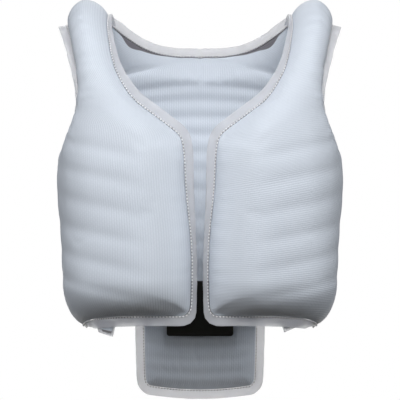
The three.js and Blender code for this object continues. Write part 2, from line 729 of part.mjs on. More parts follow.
function addPair(name, geometry, material) {
  addPiece(`${name}_left`, geometry, material);
  addPiece(`${name}_right`, otherSide(geometry), material);
}

const front = frontPanel();
const frontList = new TriangleList();
addCushion(frontList, front.sheets, { startFromRow: 0 }, false);
addPair("front_chamber", outwards(frontList.geometry()), MATERIALS.chamber);
addPair("front_flange", flangeGeometry(front.front), MATERIALS.flange);
addPair("front_armhole_flange", flangeGeometry(front.arm), MATERIALS.flange);

const back = backHalf();
const backList = new TriangleList();
addCushion(backList, back.sheets, { startFromRow: back.neckBottom }, false);
addCushion(backList, mirrored(back.sheets), { startFromRow: back.neckBottom }, true);
addPiece("back_chamber", outwards(backList.geometry()), MATERIALS.chamber);
addPiece("back_neck_flange", backNeckGeometry(back.neck), MATERIALS.flange);
addPair("back_armhole_flange", flangeGeometry(back.arm), MATERIALS.flange);
addPair("back_hem_flange", flangeGeometry(back.hem), MATERIALS.flange);

const { pad, flange } = tail();
addPiece("tail_pad", pad, MATERIALS.chamber);
addPiece("tail_flange", flange, MATERIALS.flange);

const box = addPiece("back_box", boxGeometry(), MATERIALS.box);
box.rotation.x = Math.PI / 2;
box.position.set(0, BOX.backY - BOX.bevel, BOX.topZ - BOX.height / 2);

addPiece("hem_tab_left", tabGeometry(LEFT_TAB), MATERIALS.flange);
addPiece("hem_tab_right", otherSide(tabGeometry(RIGHT_TAB)), MATERIALS.flange);

export default vest;
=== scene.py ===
"""Looks of the inflated airbag vest: woven chambers, see-through flanges, stitches, box, light and camera.

Lengths in the tables are millimetres in the CAD frame: +X to the wearer's left, +Y to the back, +Z up.
"""
import math

import bpy
import numpy as np
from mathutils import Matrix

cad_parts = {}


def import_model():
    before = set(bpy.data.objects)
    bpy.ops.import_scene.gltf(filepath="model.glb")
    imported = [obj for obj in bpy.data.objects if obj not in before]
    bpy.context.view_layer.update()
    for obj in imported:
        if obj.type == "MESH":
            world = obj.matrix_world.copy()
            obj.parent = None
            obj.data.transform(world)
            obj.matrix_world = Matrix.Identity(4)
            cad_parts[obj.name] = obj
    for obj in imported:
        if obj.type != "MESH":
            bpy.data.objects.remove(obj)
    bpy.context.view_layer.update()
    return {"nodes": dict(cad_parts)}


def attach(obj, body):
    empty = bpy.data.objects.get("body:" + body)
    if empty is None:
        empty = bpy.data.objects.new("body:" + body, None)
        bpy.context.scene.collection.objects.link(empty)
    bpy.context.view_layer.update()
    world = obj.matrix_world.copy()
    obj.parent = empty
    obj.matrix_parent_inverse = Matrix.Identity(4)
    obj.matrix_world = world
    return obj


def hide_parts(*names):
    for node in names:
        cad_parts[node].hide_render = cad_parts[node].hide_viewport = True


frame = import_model()

MM = 0.001

# The shell: the middle surface of the walls, as in the solids.
UNDERARM_Z = -150
ARCH_RISE = 180
RIDGE_CLIMB = ARCH_RISE * math.pi / 2
SQUARENESS = 2.6
SHOULDER_SLOPE = 0.24
STRAP_X = 165
SECTIONS = [
    dict(climb=-420, half_width=156, half_depth=136),
    dict(climb=-274, half_width=174, half_depth=141),
    dict(climb=-222, half_width=172.5, half_depth=144),
    dict(climb=-150, half_width=177, half_depth=148),
    dict(climb=-66, half_width=185, half_depth=150),
    dict(climb=0, half_width=185.5, half_depth=150),
    dict(climb=60, half_width=199, half_depth=150),
    dict(climb=120, half_width=210, half_depth=150),
    dict(climb=RIDGE_CLIMB, half_width=217, half_depth=150),
]

# Wall thickness either side of the shell, how it thins towards each kind of edge, and the short puckers at
# the seams: their depth, spacing along the seam and reach away from it. They start this far from the seam.
PUFF_OUT = 29
PUFF_IN = 22
RIM = 1.6
SEAM_GAP = 0.3
OPENING_EDGE = dict(width=58, share=0, power=0.75, pucker=dict(depth=1.3, pitch=21, reach=17))
NECK_EDGE = dict(width=34, share=0, power=0.6, pucker=dict(depth=0.9, pitch=14, reach=13))
ARM_EDGE = dict(width=33, share=0, power=0.55, pucker=dict(depth=2.0, pitch=17, reach=34))
FRONT_HEM_EDGE = dict(width=56, share=0, power=0.6, pucker=dict(depth=1.1, pitch=15, reach=15))
BACK_HEM_EDGE = dict(width=52, share=0, power=0.55, pucker=dict(depth=1.1, pitch=15, reach=15))
JOINED_EDGE = dict(width=24, share=0.76, power=0.6)
PUCKER_START = 4

# Rows of the front panel from the hem to the shoulder seam, each from the opening or neck edge outwards.
FRONT_ROWS = [
    dict(in_x=26, in_z=-404, out_z=-427, bend=2.2),
    dict(in_x=20.5, in_z=-402.6, out_z=-424, bend=2.2),
    dict(in_x=16.8, in_z=-399.5, out_z=-419.5, bend=2.2),
    dict(in_x=14.7, in_z=-395, out_z=-413, bend=2.2),
    dict(in_x=13.7, in_z=-389, out_z=-404, bend=2.2),
    dict(in_x=13, in_z=-378, out_z=-382, bend=2),
    dict(in_x=12.5, in_z=-332, out_z=-302),
    dict(in_x=14, in_z=-296, out_z=-256),
    dict(in_x=19.8, in_z=-238, out_z=-186),
    dict(in_x=21.6, in_z=-214, out_z=-160, mark="underarm"),
    dict(in_x=22.4, in_z=-199, out_x=184.8, out_z=-158.5),
    dict(in_x=23.2, in_z=-184, out_x=183.4, out_z=-154),
    dict(in_x=24.4, in_z=-170, out_x=180.8, out_z=-145),
    dict(in_x=26.5, in_z=-157, out_x=178.5, out_z=-132),
    dict(in_x=31, in_z=-148, out_x=174.5, out_z=-118, mark="neck"),
    dict(in_x=44, in_z=-137, out_x=171.5, out_z=-104),
    dict(in_x=69, in_z=-118, out_x=170.5, out_z=-90),
    dict(in_x=95, in_z=-97, out_x=171.5, out_z=-74),
    dict(in_x=113, in_z=-71, out_x=175, out_z=-52),
    dict(in_x=124, in_z=-47, out_x=180, out_z=-33),
    dict(in_x=132, in_z=-13, out_x=187, out_z=-6),
    dict(in_x=136.5, in_z=16, out_x=193.5, out_z=13),
    dict(in_x=138, in_z=36.5, out_x=198, out_z=22),
    dict(in_x=136, in_z=25, out_x=195, out_z=12.5, behind=True),
]

# Rows of half the back panel in the same columns, first up the centre line and then along the neckline.
BACK_ROWS = [
    dict(in_x=0, in_z=-418, out_z=-427, bend=2),
    dict(in_x=0, in_z=-412, out_z=-419.5, bend=2),
    dict(in_x=0, in_z=-402, out_z=-407, bend=2),
    dict(in_x=0, in_z=-388, out_z=-388),
    dict(in_x=0, in_z=-290, out_z=-283, bend=2),
    dict(in_x=0, in_z=-220, out_z=-204, bend=2),
    dict(in_x=0, in_z=-164, out_z=-160, bend=2, mark="underarm"),
    dict(in_x=0, in_z=-150, out_x=184.8, out_z=-158.5, bend=2),
    dict(in_x=0, in_z=-136, out_x=183.4, out_z=-154, bend=2),
    dict(in_x=0, in_z=-122, out_x=180.8, out_z=-145, bend=2),
    dict(in_x=0, in_z=-108, out_x=178.5, out_z=-132, bend=2),
    dict(in_x=0, in_z=-80, out_x=172.5, out_z=-110, bend=2.3),
    dict(in_x=0, in_z=-52, out_x=170.3, out_z=-95, bend=2.4),
    dict(in_x=0, in_z=-34, out_x=170.3, out_z=-89, bend=2.4),
    dict(in_x=0, in_z=-18, out_x=170.8, out_z=-82, bend=2.4, mark="neck"),
    dict(in_x=34, in_z=-17, out_x=172, out_z=-72, bend=2.2),
    dict(in_x=64, in_z=-13, out_x=174.5, out_z=-56, bend=2),
    dict(in_x=88, in_z=-5, out_x=178.3, out_z=-39, bend=1.6),
    dict(in_x=108, in_z=6, out_x=183.5, out_z=-20, bend=1.3),
    dict(in_x=125, in_z=17, out_x=189, out_z=-2),
    dict(in_x=136, in_z=25, out_x=195, out_z=12.5),
]
FRONT_GRID = dict(row_step=4.2, columns=54)
BACK_GRID = dict(row_step=5, columns=42)
# How much the points of a row crowd towards its ends, and the places that measure its length.
CROWDING = 0.35
ROW_SAMPLES = 161
# Where the search for a height on the shell starts, and how often it halves what is left.
LOWEST_CLIMB = -500.0
HALVINGS = 50
# The chambers are blown up as cloth from a slightly thinner form, and no point moves further than the cap.
AIR = dict(frames=20, cap=6, start=0.96)
CLOTH = dict(
    quality=6,
    mass=0.2,
    tension_stiffness=25,
    compression_stiffness=25,
    shear_stiffness=12,
    bending_stiffness=0.8,
    air_damping=3,
    use_pressure=True,
    uniform_pressure_force=4,
)
# The box stops the back's inner sheet from moving out over this width and up to this height.
BOX_PRESS = dict(half_x=56, top_z=-362, fade=28)

# Tables in braces give values at heights or at distances from the centre plane; curve() goes between them.
# The front panels are fuller towards their hem: by this much by height, times a share by distance.
BELLY = {-430: 22, -340: 22, -260: 18.5, -195: 16, -150: 9.5, -95: 0, 60: 0}
BELLY_SPREAD = {0: 0.5, 45: 0.7, 85: 1, 130: 1, 160: 0.5, 180: 0, 230: 0}
# The straps are a little fuller over the shoulders, by height.
SHOULDER_FULLNESS = {-430: 0, -50: 0, 10: 3.5, 60: 4.5}

# Soft folds from the sides of the front panels, with a share of their depth by distance.
FOLD = dict(first=-341, pitch=39, count=6, fall=0.28, depth=1.5, half_width=9.5, origin_x=200)
FOLD_STRENGTH = {0: 0, 50: 0, 110: 1, 155: 1, 190: 0.35, 230: 0.35}
# Ripples across the straps, with shares of their depth by height and by distance.
STRAP_RIPPLE = dict(depth=1.0, pitch=15)
STRAP_REACH = {-430: 0, -120: 0, -80: 1, 10: 1, 60: 0.3}
STRAP_SIDE = {0: 0, 120: 0, 158: 1, 230: 1}
# Level ribs across the back, the heights of their valleys, and a share of their depth by distance.
RIB = dict(depth=1.9, half_width=8, first_depth=2.6, fade_rows=4)
RIB_VALLEYS = (-52, -77, -106, -135, -165, -193, -223, -270, -307, -345)
RIB_STRENGTH = {0: 1, 125: 1, 170: 0.15, 230: 0.15}

# The welded film along the seams, and the ripple of its free edge.
FLANGE = dict(width=14.5, thickness=1.0, gap=0.4, columns=6)
RIPPLE = dict(height=0.5, pitch=31, drift=47, fade=20)
# Degrees by which a flange turns inwards, by height up the opening or by distance along a hem or the neck.
OPENING_TUCK = {
    -404: 0, -402: 6, -395: 16, -388: 20, -366: 23, -340: 24,
    -300: 22, -235: 16, -165: 8, -140: 0, 60: 0,
}
HEM_TUCK = {0: 0, 150: 0, 166: 28, 174: 50, 230: 50}
BACK_NECK_TUCK = {0: -30, 64: -32, 100: -44, 124: -62, 131: -70, 136: -74}
# Share of the flange's width, by height up the opening or by distance along the back neck or a hem.
OPENING_TAPER = {
    -404: 1, -388: 0.6, -300: 0.6, -235: 0.84, -165: 1,
    -110: 1, -60: 0.82, -10: 0.6, 40: 0.45,
}
BACK_NECK_TAPER = {0: 1, 108: 1, 125: 1.2, 136: 1.15}
HEM_TAPER = {0: 1, 148: 1, 176: 0.45, 230: 0.45}
# Depth of the dark painted shade below the back neck seam, by distance from the centre.
NECK_SHADE_DEPTH = {0: 0, 50: 0, 70: 2, 90: 4.5, 109: 10.5, 114: 8.5, 121: 2, 128: 0, 230: -20}
# Points of the back store this number on the edge of the painted shade, and more inside it.
NECK_SHADE_EDGE = 5
NECK_SHADE_COLOUR = (0.17, 0.165, 0.185, 1)

# Rows of the tail from its top down: half its width, the height at its sides and the sag between them.
TAIL_ROWS = [
    dict(half_x=88.5, end_z=-420.5, sag=-1),
    dict(half_x=88.3, end_z=-431, sag=0),
    dict(half_x=88, end_z=-446, sag=1),
    dict(half_x=87.6, end_z=-464, sag=2),
    dict(half_x=87, end_z=-482, sag=3),
    dict(half_x=86.5, end_z=-500, sag=4),
    dict(half_x=86, end_z=-515, sag=5.5),
    dict(half_x=84.5, end_z=-526, sag=7),
    dict(half_x=79, end_z=-532.5, sag=7.5),
]
TAIL_GRID = dict(rows=44, columns=64)
TAIL_PUFF_OUT = 8
TAIL_PUFF_IN = 11
TAIL_EDGE = dict(width=24, share=0, power=0.6, pucker=dict(depth=0.8, pitch=14, reach=12))
TAIL_TOP_EDGE = dict(width=14, share=0.35, power=0.6)
TAIL_FLANGE_TOP_Z = -421.3
TAIL_RIB = dict(depth=1.1, pitch=21, valley_z=-472, bow=7, reach=88)

# The hem tabs: a film border round a padded middle with a band of painted shade across it.
TAB = dict(top_z=-413.5, top_width=34, bottom_width=22, border=3.5, stand_off=4, columns=28, rows=20)
TAB_PUFF_OUT = 1.2
TAB_PUFF_IN = 4
TAB_SHADE_BAND = dict(start=0.66, end=0.84)
TABS = dict(right=dict(x=138.5, length=20.5, skew=2.5), left=dict(x=134, length=12.5, skew=4))

# Stitches lean with the flange by a share of its turn; the shift sets stitches and needle holes in turn.
STITCH = dict(pitch=4.6, length=2.8, width=2.0, height=1.2, inset=1.5, lift=0.9, lean=0.3, shift=0.5)
NEEDLE_HOLE = dict(length=1.7, width=1.7, height=0.6, shift=0.02)

# Distance between threads of the fabric and of the film, in metres.
WEAVE_PITCH = 0.003
FILM_WEAVE_PITCH = 0.0016

# The floor lies as far below the shoulders as it does for a standing wearer.
FLOOR_Z = -1.42
FLOOR_RADIUS = 0.28
FLOOR_CORNERS = 64

# Soft studio lights that face the middle of the vest: places and sizes in metres, power in watts.
LIGHT_TARGET = (0, 0, -0.24)
LIGHTS = [
    dict(name="key", place=(0, -2.12, 1.5), size=(1.6, 1.2), power=62),
    dict(name="fill", place=(0, -3.2, -0.1), size=(0.25, 0.9), power=6, colour=(1.0, 0.98, 0.95)),
    dict(name="side_left", place=(2.3, -1.1, 0.2), size=(1.2, 1.2), power=22),
    dict(name="side_right", place=(-2.3, -1.1, 0.2), size=(1.2, 1.2), power=22),
    dict(name="under_back", place=(0, 1.8, -0.75), size=(1.6, 0.6), power=14, colour=(1.0, 0.98, 0.96)),
    dict(name="back", place=(0, 2.2, 1.5), size=(1.6, 1.2), power=22),
]

# Camera: the photograph's straight front view, 600 mm wide at the middle of the vest.
CAMERA_LENS = 150
CAMERA_SENSOR = 36
CAMERA_Y = -2.5
CAMERA_Z = -0.240


def between(rows, along, column, at):
    """Smooth value of one column of a table at places along another."""
    return curve({row[along]: row[column] for row in rows}, at)


def curve(table, at):
    """Smooth value between places with known values, with no overshoot."""
    key = np.array(list(table), float)
    value = np.array(list(table.values()), float)
    if key[0] > key[-1]:
        key = key[::-1]
        value = value[::-1]
    at = np.clip(np.asarray(at, float), key[0], key[-1])
    slope = np.diff(value) / np.diff(key)
    tangent = np.empty_like(value)
    tangent[0] = slope[0]
    tangent[-1] = slope[-1]
    product = slope[:-1] * slope[1:]
    total = slope[:-1] + slope[1:]
    tangent[1:-1] = np.where(product > 0, 2 * product / np.where(product > 0, total, 1), 0)
    i = np.clip(np.searchsorted(key, at) - 1, 0, len(key) - 2)
    run = key[i + 1] - key[i]
    t = (at - key[i]) / run
    s = t * t * (3 - 2 * t)
    bend = run * t * (1 - t)
    return value[i] * (1 - s) + value[i + 1] * s + bend * ((1 - t) * tangent[i] - t * tangent[i + 1])


def signed_power(value, power):
    return np.sign(value) * np.abs(value) ** power


def shell_point(angle, climb):
    """Points of the shell on the wearer's left, by angle round the torso and climb over the underarm."""
    level = np.minimum(climb, 2 * RIDGE_CLIMB - climb)
    lean = np.maximum(level, 0) / ARCH_RISE
    power = 2 / SQUARENESS
    side = np.where(climb > RIDGE_CLIMB, 1, -1)
    x = between(SECTIONS, "climb", "half_width", level) * signed_power(np.sin(angle), power)
    depth = between(SECTIONS, "climb", "half_depth", level) * np.cos(lean)
    y = side * depth * signed_power(np.cos(angle), power)
    rise = np.where(level > 0, ARCH_RISE * np.sin(lean), level)
    fall = SHOULDER_SLOPE * (np.abs(x) - STRAP_X) * np.sin(lean) ** 2
    return np.stack([x, y, UNDERARM_Z + rise - fall], -1)


def unit(vectors):
    return vectors / np.maximum(np.linalg.norm(vectors, axis=-1, keepdims=True), 1e-12)


def shell_normal(angle, climb):
    turn = 0.002
    step = 0.5
    across = shell_point(angle + turn, climb) - shell_point(angle - turn, climb)
    up = shell_point(angle, climb + step) - shell_point(angle, climb - step)
    return unit(np.cross(across, up))


def climb_at(x, z):
    """Climb of the shell points at these distances from the centre and heights, in front of the ridge."""
    x = np.asarray(x, float)
    z = np.asarray(z, float)
    low = np.full(x.shape, LOWEST_CLIMB)
    high = np.full(x.shape, RIDGE_CLIMB)
    for _ in range(HALVINGS):
        middle = (low + high) / 2
        lean = np.maximum(middle, 0) / ARCH_RISE
        rise = np.where(middle > 0, ARCH_RISE * np.sin(lean), middle)
        height = UNDERARM_Z + rise - SHOULDER_SLOPE * (x - STRAP_X) * np.sin(lean) ** 2
        low = np.where(height < z, middle, low)
        high = np.where(height < z, high, middle)
    return (low + high) / 2


def shell_place(x, z, back, behind=False):
    """Angle and climb of points of the shell given by x and z."""
    level = climb_at(x, z)
    share = np.minimum(1, x / between(SECTIONS, "climb", "half_width", level))
    angle = np.arcsin(share ** (SQUARENESS / 2))
    return (math.pi - angle if back else angle), (2 * RIDGE_CLIMB - level if behind else level)


class Panel:
    """A fine grid of one panel on the shell: points and normals, with the rows that its table marks."""

    def __init__(self, table, row_step, columns, back):
        ends = []
        for row in table:
            side_x = between(SECTIONS, "climb", "half_width", row["out_z"] - UNDERARM_Z)
            behind = row.get("behind", False)
            start = shell_place(row["in_x"], row["in_z"], back, behind)
            end = shell_place(row.get("out_x", side_x), row["out_z"], back, behind)
            ends.append([*start, *end, row.get("bend", 1)])
        ends = np.array(ends, float)
        inner = shell_point(ends[:, 0], ends[:, 1])
        outer = shell_point(ends[:, 2], ends[:, 3])
        inner_run = np.linalg.norm(np.diff(inner, axis=0), axis=1)
        outer_run = np.linalg.norm(np.diff(outer, axis=0), axis=1)
        steps = (inner_run + outer_run) / 2
        along = np.concatenate([[0], np.cumsum(steps)])
        places = [0.0]
        self.marks = {}
        for i in range(1, len(table)):
            count = max(1, round(steps[i - 1] / row_step))
            places.extend(along[i - 1] + steps[i - 1] * np.arange(1, count + 1) / count)
            if "mark" in table[i]:
                self.marks[table[i]["mark"]] = len(places) - 1
        keyed = [dict(along=a, c0=e[0], c1=e[1], c2=e[2], c3=e[3], c4=e[4]) for a, e in zip(along, ends)]
        fine = np.stack([between(keyed, "along", f"c{k}", places) for k in range(5)], -1)
        turn = (SEAM_GAP / SECTIONS[-1]["half_depth"]) ** (SQUARENESS / 2)
        at_side = np.abs(fine[:, 2] - math.pi / 2) < 1e-3
        fine[at_side, 2] += turn if back else -turn
        fine[-1, [1, 3]] -= SEAM_GAP
        angle, climb = self.spread(fine, columns)
        self.point = shell_point(angle, climb)
        self.normal = shell_normal(angle, climb)
        self.down_rows = np.array(places)

    @staticmethod
    def spread(fine, columns):
        """Angles and climbs along each row, closer together near its two ends."""
        t = np.linspace(0, 1, ROW_SAMPLES)
        even = np.linspace(0, 1, columns + 1)
        share = CROWDING * (1 - np.cos(math.pi * even)) / 2 + (1 - CROWDING) * even
        angles = []
        climbs = []
        for start_angle, start_climb, end_angle, end_climb, bend in fine:
            angle = start_angle + (end_angle - start_angle) * t
            climb = start_climb + (end_climb - start_climb) * t**bend
            run = np.linalg.norm(np.diff(shell_point(angle, climb), axis=0), axis=1)
            length = np.concatenate([[0], np.cumsum(run)])
            angles.append(np.interp(share * length[-1], length, angle))
            climbs.append(np.interp(share * length[-1], length, climb))
        return np.array(angles), np.array(climbs)


def line_distance(points, line):
    """Distance of each point to a line of points, and how far along the line its nearest place is."""
    start = line[:-1]
    run = line[1:] - start
    lengths = np.linalg.norm(run, axis=1)
    offsets = np.concatenate([[0], np.cumsum(lengths)])
    best = np.full(len(points), np.inf)
    where = np.zeros(len(points))
    for a, d, length, offset in zip(start, run, lengths, offsets):
        if length < 1e-9:
            continue
        t = np.clip((points - a) @ d / length**2, 0, 1)
        gap = points - a - t[:, None] * d
        square = np.einsum("ij,ij->i", gap, gap)
        nearer = square < best
        best = np.where(nearer, square, best)
        where = np.where(nearer, offset + t * length, where)
    return np.sqrt(best), where


def pucker_wave(along, pitch, phase):
    """Uneven waves along a seam, between 0 and 1."""
    turn = 2 * math.pi * along / pitch
    drift = 1.3 * np.sin(turn * 0.23 + 2 * phase)
    wave = np.sin(turn + phase + drift) + 0.6 * np.sin(turn * 0.61 + 3 * phase)
    return np.clip(0.5 + wave / 3.2, 0, 1)


def thickness_share(points, edges):
    """Share of the full thickness that is left at each point, and the depth of the puckers there."""
    share = np.ones(len(points))
    pucker = np.zeros(len(points))
    for number, (line, kind) in enumerate(edges):
        distance, along = line_distance(points, line)
        t = np.minimum(1, distance / kind["width"])
        share *= kind["share"] + (1 - kind["share"]) * (1 - (1 - t) ** 2) ** kind["power"]
        if "pucker" in kind:
            size = kind["pucker"]
            reach = np.exp(-((distance / size["reach"]) ** 2)) * np.minimum(1, distance / PUCKER_START)
            pucker += size["depth"] * reach * pucker_wave(along, size["pitch"], number + 0.7)
    return share, pucker


def fold_depth(points):
    level = points[:, 2] + FOLD["fall"] * (FOLD["origin_x"] - np.abs(points[:, 0]))
    nearest = np.clip(np.round((level - FOLD["first"]) / FOLD["pitch"]), 0, FOLD["count"] - 1)
    off = (level - FOLD["first"] - nearest * FOLD["pitch"]) / FOLD["half_width"]
    return FOLD["depth"] * np.exp(-off * off) * curve(FOLD_STRENGTH, np.abs(points[:, 0]))


def strap_ripple(points):
    z = points[:, 2]
    turn = 2 * math.pi * z / STRAP_RIPPLE["pitch"]
    wave = (1 + np.sin(turn + 1.4 * np.sin(turn * 0.31))) / 2
    side = curve(STRAP_SIDE, np.abs(points[:, 0]))
    return STRAP_RIPPLE["depth"] * wave * side * curve(STRAP_REACH, z)


def flip_x(points):
    return points * np.array([-1, 1, 1])


def inflated(panel, edges, puff_out, puff_in, dent_out, dent_in):
    """Points of a panel's outer and inner sheets, and how far folds and puckers press them back."""
    flat = panel.point.reshape(-1, 3)
    normal = panel.normal.reshape(-1, 3)
    share, pucker = thickness_share(flat, edges)
    out = np.maximum(RIM / 2, puff_out * share * AIR["start"])[:, None]
    inward = np.maximum(RIM / 2, puff_in * share * AIR["start"])[:, None]
    press_out = np.minimum(dent_out * share + pucker, out[:, 0] - RIM / 2)[:, None]
    press_in = np.minimum(dent_in * share + pucker, inward[:, 0] - RIM / 2)[:, None]
    points = np.concatenate([flat + normal * out, flat - normal * inward])
    relief = np.concatenate([-normal * press_out, normal * press_in])
    return points, relief


def front_panel():
    panel = Panel(FRONT_ROWS, FRONT_GRID["row_step"], FRONT_GRID["columns"], False)
    underarm = panel.marks["underarm"]
    neck = panel.marks["neck"]
    inner = panel.point[:, 0]
    outer = panel.point[:, -1]
    edges = [
        (inner[: neck + 1], OPENING_EDGE),
        (inner[neck:], NECK_EDGE),
        (outer[underarm:], ARM_EDGE),
        (outer[: underarm + 1], JOINED_EDGE),
        (panel.point[0], FRONT_HEM_EDGE),
        (panel.point[-1], JOINED_EDGE),
    ]
    flat = panel.point.reshape(-1, 3)
    spread = curve(BELLY_SPREAD, np.abs(flat[:, 0]))
    belly = curve(BELLY, flat[:, 2]) * spread
    full = PUFF_OUT + belly + curve(SHOULDER_FULLNESS, flat[:, 2])
    sheets = inflated(panel, edges, full, PUFF_IN, fold_depth(flat) + strap_ripple(flat), 0)
    return panel, sheets


def back_panel():
    panel = Panel(BACK_ROWS, BACK_GRID["row_step"], BACK_GRID["columns"], True)
    underarm = panel.marks["underarm"]
    neck = panel.marks["neck"]
    panel.point[: neck + 1, 0, 0] = 0
    panel.normal[: neck + 1, 0, 0] = 0
    outer = panel.point[:, -1]
    neckline = panel.point[neck:, 0]
    edges = [
        (np.concatenate([flip_x(neckline)[::-1], neckline[1:]]), NECK_EDGE),
        (outer[underarm:], ARM_EDGE),
        (outer[: underarm + 1], JOINED_EDGE),
        (np.concatenate([flip_x(panel.point[0])[::-1], panel.point[0][1:]]), BACK_HEM_EDGE),
        (panel.point[-1], JOINED_EDGE),
    ]
    row_z = panel.point[:, 0, 2]
    off = (row_z[:, None] - np.array(RIB_VALLEYS)) / RIB["half_width"]
    depth = np.where(np.arange(len(RIB_VALLEYS)) == 0, RIB["first_depth"], RIB["depth"])
    valley = (depth * np.exp(-off * off)).sum(1)
    valley *= np.clip((neck - 1 - np.arange(len(row_z))) / RIB["fade_rows"], 0, 1)
    dent = valley[:, None] * curve(RIB_STRENGTH, panel.point[..., 0])
    full = PUFF_OUT + curve(SHOULDER_FULLNESS, panel.point[..., 2].ravel())
    sheets = inflated(panel, edges, full, PUFF_IN, dent.ravel(), dent.ravel())
    return panel, sheets


def grid_quads(index, reverse=False):
    """Four-cornered faces of a grid of vertex numbers."""
    quads = np.stack([index[:-1, :-1], index[:-1, 1:], index[1:, 1:], index[1:, :-1]], -1).reshape(-1, 4)
    return quads[:, ::-1] if reverse else quads


def wall_quads(outer, inner):
    """Faces that join two lines of vertex numbers."""
    return np.stack([inner[:-1], inner[1:], outer[1:], outer[:-1]], -1)


def closed_quads(top, under, first=0):
    """Faces of two grids of vertex numbers, joined round their rims; column 0 is joined from one row on."""
    return np.concatenate([
        grid_quads(top),
        grid_quads(under, reverse=True),
        wall_quads(top[0], under[0]),
        wall_quads(top[-1, ::-1], under[-1, ::-1]),
        wall_quads(top[first:, 0][::-1], under[first:, 0][::-1]),
        wall_quads(top[:, -1], under[:, -1]),
    ])


def make_object(name, points, quads, uv, material, smooth_angle=50):
    """A mesh object from points in millimetres, its faces turned outwards."""
    quads = np.asarray(quads)
    corner = points[quads]
    volume = np.einsum("ij,ij->i", corner[:, 0], np.cross(corner[:, 1], corner[:, 2])).sum()
    volume += np.einsum("ij,ij->i", corner[:, 0], np.cross(corner[:, 2], corner[:, 3])).sum()
    if volume < 0:
        quads = quads[:, ::-1]
    mesh = bpy.data.meshes.new(name)
    mesh.from_pydata((points * MM).tolist(), [], quads.tolist())
    layer = mesh.uv_layers.new(name="UVMap")
    layer.data.foreach_set("uv", (uv[quads.ravel()] * MM).ravel())
    mesh.shade_smooth()
    mesh.set_sharp_from_angle(angle=math.radians(smooth_angle))
    mesh.materials.append(material)
    made = bpy.data.objects.new(name, mesh)
    bpy.context.scene.collection.objects.link(made)
    return made


def panel_uv(panel):
    """Distances along and across a panel's rows, in millimetres, for its weave."""
    run = np.linalg.norm(np.diff(panel.point, axis=1), axis=2)
    across = np.concatenate([np.zeros((len(run), 1)), np.cumsum(run, axis=1)], axis=1)
    along = np.broadcast_to(panel.down_rows[:, None], across.shape)
    return np.stack([across, along], -1).reshape(-1, 2)


def cushion(name, panel, sheets, material, mirror=False, turned=False):
    """One closed chamber from the two sheets of a panel."""
    points, relief = sheets
    rows, columns = panel.point.shape[:2]
    if mirror:
        points = flip_x(points)
        relief = flip_x(relief)
    top = np.arange(rows * columns).reshape(rows, columns)
    quads = closed_quads(top, top + top.size)
    uv = panel_uv(panel)
    if turned:
        uv = uv[:, ::-1]
    piece = make_object(name, points, quads, np.concatenate([uv, uv]), material)
    rim = np.concatenate([top[0], top[-1], top[1:-1, 0], top[1:-1, -1]])
    blow_up(piece, np.concatenate([rim, rim + top.size]), relief)
    return piece


def back_cushion(name, panel, sheets, material):
    """The back chamber: two mirrored halves that share the centre line below the neck."""
    neck = panel.marks["neck"]
    rows, columns = panel.point.shape[:2]
    size = rows * columns
    points, relief = (np.concatenate([half, flip_x(half)]) for half in sheets)
    quads = []
    for side in range(2):
        top = np.arange(size).reshape(rows, columns) + 2 * size * side
        under = top + size
        if side == 1:
            top[: neck + 1, 0] -= 2 * size
            under[: neck + 1, 0] -= 2 * size
        faces = closed_quads(top, under, neck)
        quads.append(faces[:, ::-1] if side == 1 else faces)
    quads = np.concatenate(quads)
    uv = panel_uv(panel)
    used = np.unique(quads)
    number = np.zeros(len(points), int)
    number[used] = np.arange(len(used))
    piece = make_object(name, points[used], number[quads], np.concatenate([uv] * 4)[used], material)
    rim = np.zeros((rows, columns), bool)
    rim[[0, -1]] = True
    rim[:, -1] = True
    rim[neck:, 0] = True
    inner = np.arange(len(points)) // size % 2 == 1
    freedom = np.where(inner, box_freedom(points), 1)
    blow_up(piece, np.flatnonzero(np.tile(rim.ravel(), 4)[used]), relief[used], freedom[used])
    return piece


def box_freedom(points):
    """Share of its movement that each point of the back's inner sheet keeps: none where the box presses."""
    beside = np.maximum(np.abs(points[:, 0]) - BOX_PRESS["half_x"], points[:, 2] - BOX_PRESS["top_z"])
    return np.clip(beside / BOX_PRESS["fade"], 0, 1)


def blow_up(piece, held, relief, freedom=1):
    """Blows up a closed chamber as cloth with its seams held, presses its folds in and subdivides it."""
    mesh = piece.data
    start = np.empty(len(mesh.vertices) * 3)
    mesh.vertices.foreach_get("co", start)
    end = cloth_under_pressure(piece, held)
    shift = (end - start).reshape(-1, 3)
    length = np.linalg.norm(shift, axis=1)
    shift *= (freedom * np.minimum(1, AIR["cap"] * MM / np.maximum(length, 1e-9)))[:, None]
    mesh.vertices.foreach_set("co", start + (shift + relief * MM).ravel())
    smooth = piece.modifiers.new("smooth", "SUBSURF")
    smooth.levels = 1
    made = piece.evaluated_get(bpy.context.evaluated_depsgraph_get())
    piece.data = bpy.data.meshes.new_from_object(made)
    piece.modifiers.clear()


def cloth_under_pressure(piece, held):
    """Where the points of a closed mesh come to rest under air pressure, with some of them held."""
    seams = piece.vertex_groups.new(name="seams")
    seams.add(held.tolist(), 1.0, "REPLACE")
    cloth = piece.modifiers.new("air", "CLOTH")
    for name, value in CLOTH.items():
        setattr(cloth.settings, name, value)
    cloth.settings.vertex_group_mass = seams.name
    cloth.settings.effector_weights.gravity = 0
    cloth.collision_settings.use_collision = False
    cloth.point_cache.frame_start = 1
    cloth.point_cache.frame_end = AIR["frames"]
    scene = bpy.context.scene
    for number in range(1, AIR["frames"] + 1):
        scene.frame_set(number)
    end = np.empty(len(piece.data.vertices) * 3)
    blown = piece.evaluated_get(bpy.context.evaluated_depsgraph_get())
    blown.data.vertices.foreach_get("co", end)
    piece.modifiers.remove(cloth)
    piece.vertex_groups.remove(seams)
    scene.frame_set(1)
    return end


